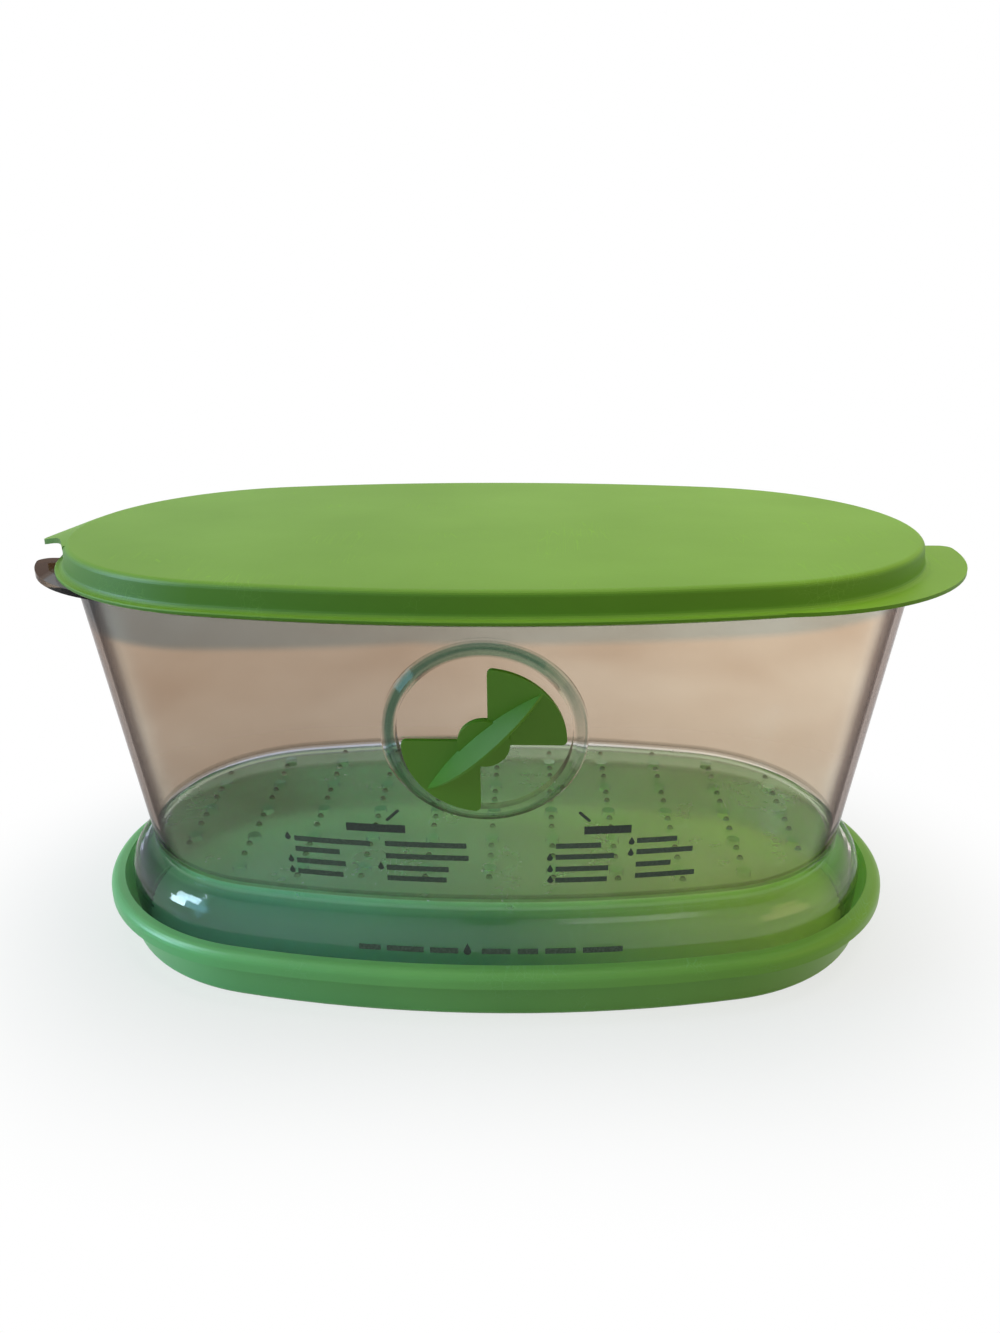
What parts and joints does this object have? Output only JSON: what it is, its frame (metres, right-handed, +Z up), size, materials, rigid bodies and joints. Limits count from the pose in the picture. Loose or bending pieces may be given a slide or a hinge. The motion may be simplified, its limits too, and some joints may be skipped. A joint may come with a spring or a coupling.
{
  "type": "produce keeper",
  "caption": "Clear oval produce keeper with a perforated floor, green lift-off lid, quarter-turn vent dial and green drip tray.",
  "frame": {"origin": "centre of the plan outline on the surface that the drip tray stands on", "axes": "+X along the length towards the lid's pull tab, +Y towards the back, away from the vent dial, +Z up"},
  "size_m": [0.3154, 0.177, 0.146],
  "materials": {
    "base_tray": "satin green plastic",
    "tub": "clear, faintly smoky plastic",
    "lid": "satin green plastic",
    "vent_dial": "satin green plastic"
  },
  "bodies": {
    "tray_body": {"base_tray": "base_tray"},
    "tub_body": {"tub": "tub"},
    "lid_body": {"lid": "lid"},
    "dial_body": {"vent_dial": "vent_dial"}
  },
  "joints": [
    {"name": "tub_lift", "type": "slide", "parent": "tray_body", "child": "tub_body", "axis": [0, 0, 1], "range_m": [0, 0.06]},
    {"name": "lid_lift", "type": "slide", "parent": "tub_body", "child": "lid_body", "axis": [0, 0, 1], "range_m": [0, 0.06]},
    {"name": "dial_turn", "type": "hinge", "parent": "tub_body", "child": "dial_body", "pos_m": [0, -0.07621, 0.1], "axis": [0, -0.9883, -0.1528], "range_deg": [0, 90]}
  ]
}
